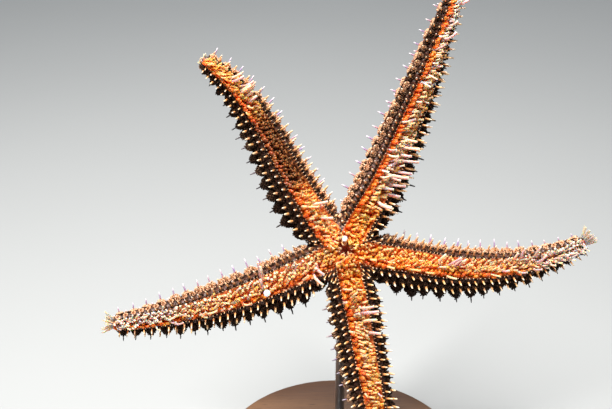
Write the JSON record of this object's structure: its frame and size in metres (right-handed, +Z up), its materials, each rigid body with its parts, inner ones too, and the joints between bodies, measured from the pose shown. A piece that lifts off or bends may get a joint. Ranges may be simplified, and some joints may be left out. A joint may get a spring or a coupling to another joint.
{
  "type": "spiny sea star",
  "caption": "Life-size spiny sea star, mouth side forward with arms spread and curled, held by its back on a round base and bent rod.",
  "frame": {"origin": "middle of the underside of the stand's round base, on the surface that it stands on", "axes": "+Z up; +X to the right as the mouth side is seen; the mouth side faces -Y and leans back 25 degrees"},
  "size_m": [0.2682, 0.1694, 0.2963],
  "materials": {
    "skin": "wet, spiny skin: orange-brown body, near-black flanks, cream and violet spine tips",
    "mouth_membrane": "soft wet membrane",
    "sieve_plate": "matt, finely grooved",
    "stand_wood": "satin walnut",
    "stand_metal": "satin"
  },
  "bodies": {
    "root": {"disc": "skin", "mouth": "mouth_membrane", "madreporite": "sieve_plate", "arm_right_inner": "skin", "arm_right_middle": "skin", "arm_right_tip": "skin", "arm_top_inner": "skin", "arm_top_middle": "skin", "arm_top_tip": "skin", "arm_upper_left_inner": "skin", "arm_upper_left_middle": "skin", "arm_upper_left_tip": "skin", "arm_left_inner": "skin", "arm_left_middle": "skin", "arm_left_tip": "skin", "arm_lower_inner": "skin", "arm_lower_middle": "skin", "arm_lower_tip": "skin", "stand_base": "stand_wood", "stand_rod": "stand_metal"}
  },
  "joints": []
}
